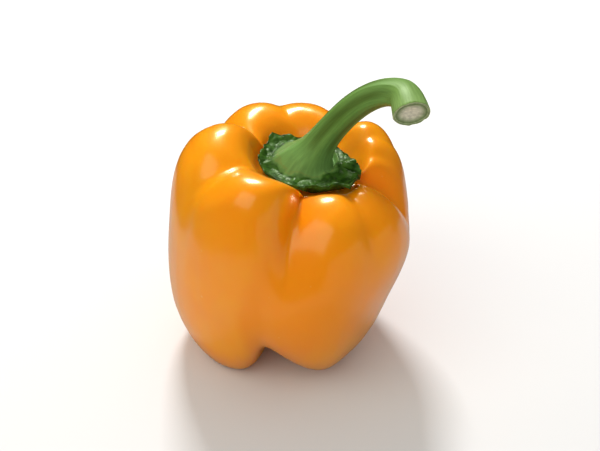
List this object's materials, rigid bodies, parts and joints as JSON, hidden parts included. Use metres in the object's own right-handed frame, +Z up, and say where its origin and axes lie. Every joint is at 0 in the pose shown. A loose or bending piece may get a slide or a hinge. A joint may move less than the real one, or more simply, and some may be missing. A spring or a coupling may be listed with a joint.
{
  "type": "bell pepper",
  "caption": "Ripe orange bell pepper: a blocky, deeply furrowed glossy fruit standing on its feet, with a crinkled green calyx and a long curved stalk cut straight at its end.",
  "frame": {"origin": "on the table, under the middle of the whole outline, stalk included", "axes": "+Z up along the fruit; the stalk leans towards +X and its cut end looks towards -Y, which is the side the picture shows"},
  "size_m": [0.09, 0.0894, 0.1097],
  "materials": {
    "fruit": "glossy waxy orange skin, slightly translucent",
    "stalk": "satin green stalk and crinkled dark green calyx, with a pale fibrous cut end"
  },
  "bodies": {
    "root": {"fruit": "fruit", "stalk": "stalk"}
  },
  "joints": []
}
